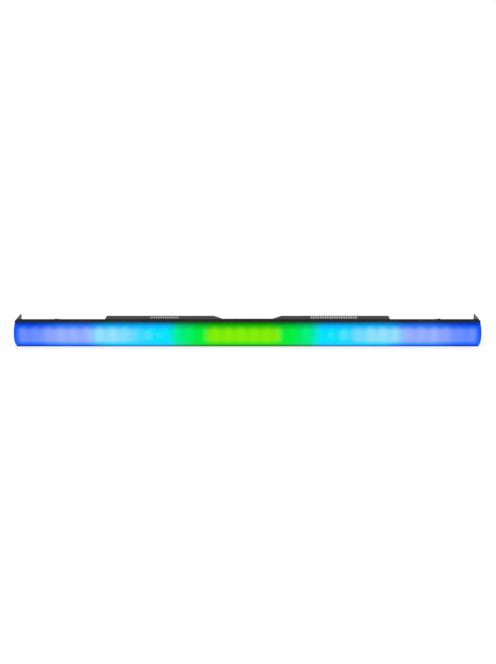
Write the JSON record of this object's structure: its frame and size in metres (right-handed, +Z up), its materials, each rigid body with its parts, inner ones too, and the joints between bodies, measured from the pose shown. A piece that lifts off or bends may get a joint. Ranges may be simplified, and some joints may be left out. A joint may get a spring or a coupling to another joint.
{
  "type": "led strip batten",
  "caption": "Stage light bar with a milky curved lens in a black aluminium profile, deep end plates, electronics housings behind and swivel brackets.",
  "frame": {"origin": "middle of the bounding box, on the floor plane that the bar rests on", "axes": "+X along the bar, +Z up, the light leaves towards -Y"},
  "size_m": [1, 0.0734, 0.058],
  "materials": {
    "profile_black": "fine black powder coat on extruded aluminium",
    "lens_milky": "milky satin polycarbonate, lit from inside in soft colours",
    "board_white": "white solder mask",
    "led_amber": "clear resin over a white package",
    "steel_black": "textured black powder coat on folded steel",
    "zinc": "zinc plated",
    "screw_black": "black oxide",
    "plug_white": "moulded nylon",
    "socket_blue": "moulded blue nylon",
    "socket_grey": "moulded grey nylon",
    "socket_black": "black cast shell",
    "latch_metal": "satin nickel",
    "board_green": "green solder mask",
    "board_teal": "blue-green solder mask",
    "winding_tape": "yellow tape and copper windings",
    "capacitor_sleeve": "shrink sleeve",
    "bare_aluminium": "plain extruded",
    "chip_black": "moulded epoxy",
    "terminal_green": "moulded nylon",
    "display_black": "potted seven segment display",
    "window_red": "smoked red acrylic",
    "button_grey": "moulded grey caps",
    "brass_plain": "turned",
    "plastic_black": "fine moulded texture",
    "fuse_glass": "glass tube with end caps",
    "cable_black": "matt sheath",
    "pad_rubber": "ribbed rubber"
  },
  "bodies": {
    "bar": {"front_profile": "profile_black", "diffuser": "lens_milky", "led_board_1": "board_white", "led_board_2": "board_white", "led_board_3": "board_white", "led_board_4": "board_white", "led_packages": "led_amber", "board_screws": "zinc", "board_links": "plug_white", "end_plate_left": "steel_black", "end_plate_right": "steel_black", "end_screws": "screw_black", "chassis_left": "steel_black", "chassis_right": "steel_black", "wireway_cover": "steel_black", "rear_cover_left": "steel_black", "rear_cover_right": "steel_black", "chassis_screws": "zinc", "cover_screws": "screw_black", "clamp_plate": "steel_black", "clamp_screws": "zinc", "clamp_spacers": "zinc", "safety_eye": "zinc", "power_inlet": "socket_blue", "power_outlet": "socket_grey", "dmx_input": "socket_black", "dmx_output": "socket_black", "socket_screws": "zinc", "power_board": "board_green", "power_windings": "winding_tape", "power_capacitors": "capacitor_sleeve", "power_heat_sink": "bare_aluminium", "control_board": "board_teal", "control_chips": "chip_black", "terminal_blocks": "terminal_green", "menu_board": "board_teal", "menu_display": "display_black", "menu_window": "window_red", "menu_switches": "chip_black", "menu_spacers": "plug_white", "board_standoffs": "brass_plain", "fuse_holder": "plastic_black", "fuse_link": "fuse_glass", "earth_stud": "brass_plain", "mains_cable": "cable_black", "data_cable": "cable_black", "pivot_ears": "steel_black", "ear_screws": "zinc"},
    "left_bracket": {"bracket_left": "steel_black", "foot_pad_left": "pad_rubber"},
    "right_bracket": {"bracket_right": "steel_black", "foot_pad_right": "pad_rubber"},
    "left_knob": {"knob_left": "plastic_black"},
    "right_knob": {"knob_right": "plastic_black"},
    "menu_key": {"button_menu": "button_grey"},
    "down_key": {"button_down": "button_grey"},
    "up_key": {"button_up": "button_grey"},
    "enter_key": {"button_enter": "button_grey"},
    "data_latch": {"dmx_latch": "latch_metal"},
    "fuse_carrier": {"fuse_cap": "plastic_black"}
  },
  "joints": [
    {"name": "left_bracket_swing", "type": "hinge", "parent": "bar", "child": "left_bracket", "pos_m": [-0.397, 0.016, 0.0394], "axis": [1, 0, 0], "range_deg": [0, 180]},
    {"name": "right_bracket_swing", "type": "hinge", "parent": "bar", "child": "right_bracket", "pos_m": [0.397, 0.016, 0.0394], "axis": [1, 0, 0], "range_deg": [0, 180]},
    {"name": "left_knob_turn", "type": "hinge", "parent": "bar", "child": "left_knob", "pos_m": [-0.407, 0.016, 0.0394], "axis": [-1, 0, 0], "range_deg": [0, 180]},
    {"name": "right_knob_turn", "type": "hinge", "parent": "bar", "child": "right_knob", "pos_m": [0.407, 0.016, 0.0394], "axis": [1, 0, 0], "range_deg": [0, 180]},
    {"name": "menu_press", "type": "slide", "parent": "bar", "child": "menu_key", "axis": [0, -1, 0], "range_m": [0, 0.001], "stiffness_N_per_m": 400},
    {"name": "down_press", "type": "slide", "parent": "bar", "child": "down_key", "axis": [0, -1, 0], "range_m": [0, 0.001], "stiffness_N_per_m": 400},
    {"name": "up_press", "type": "slide", "parent": "bar", "child": "up_key", "axis": [0, -1, 0], "range_m": [0, 0.001], "stiffness_N_per_m": 400},
    {"name": "enter_press", "type": "slide", "parent": "bar", "child": "enter_key", "axis": [0, -1, 0], "range_m": [0, 0.001], "stiffness_N_per_m": 400},
    {"name": "latch_press", "type": "slide", "parent": "bar", "child": "data_latch", "axis": [-1, 0, 0], "range_m": [0, 0.0012], "stiffness_N_per_m": 500},
    {"name": "fuse_cap_turn", "type": "hinge", "parent": "bar", "child": "fuse_carrier", "pos_m": [-0.264, 0.0325, 0.033], "axis": [0, 1, 0], "range_deg": [0, 60]}
  ]
}
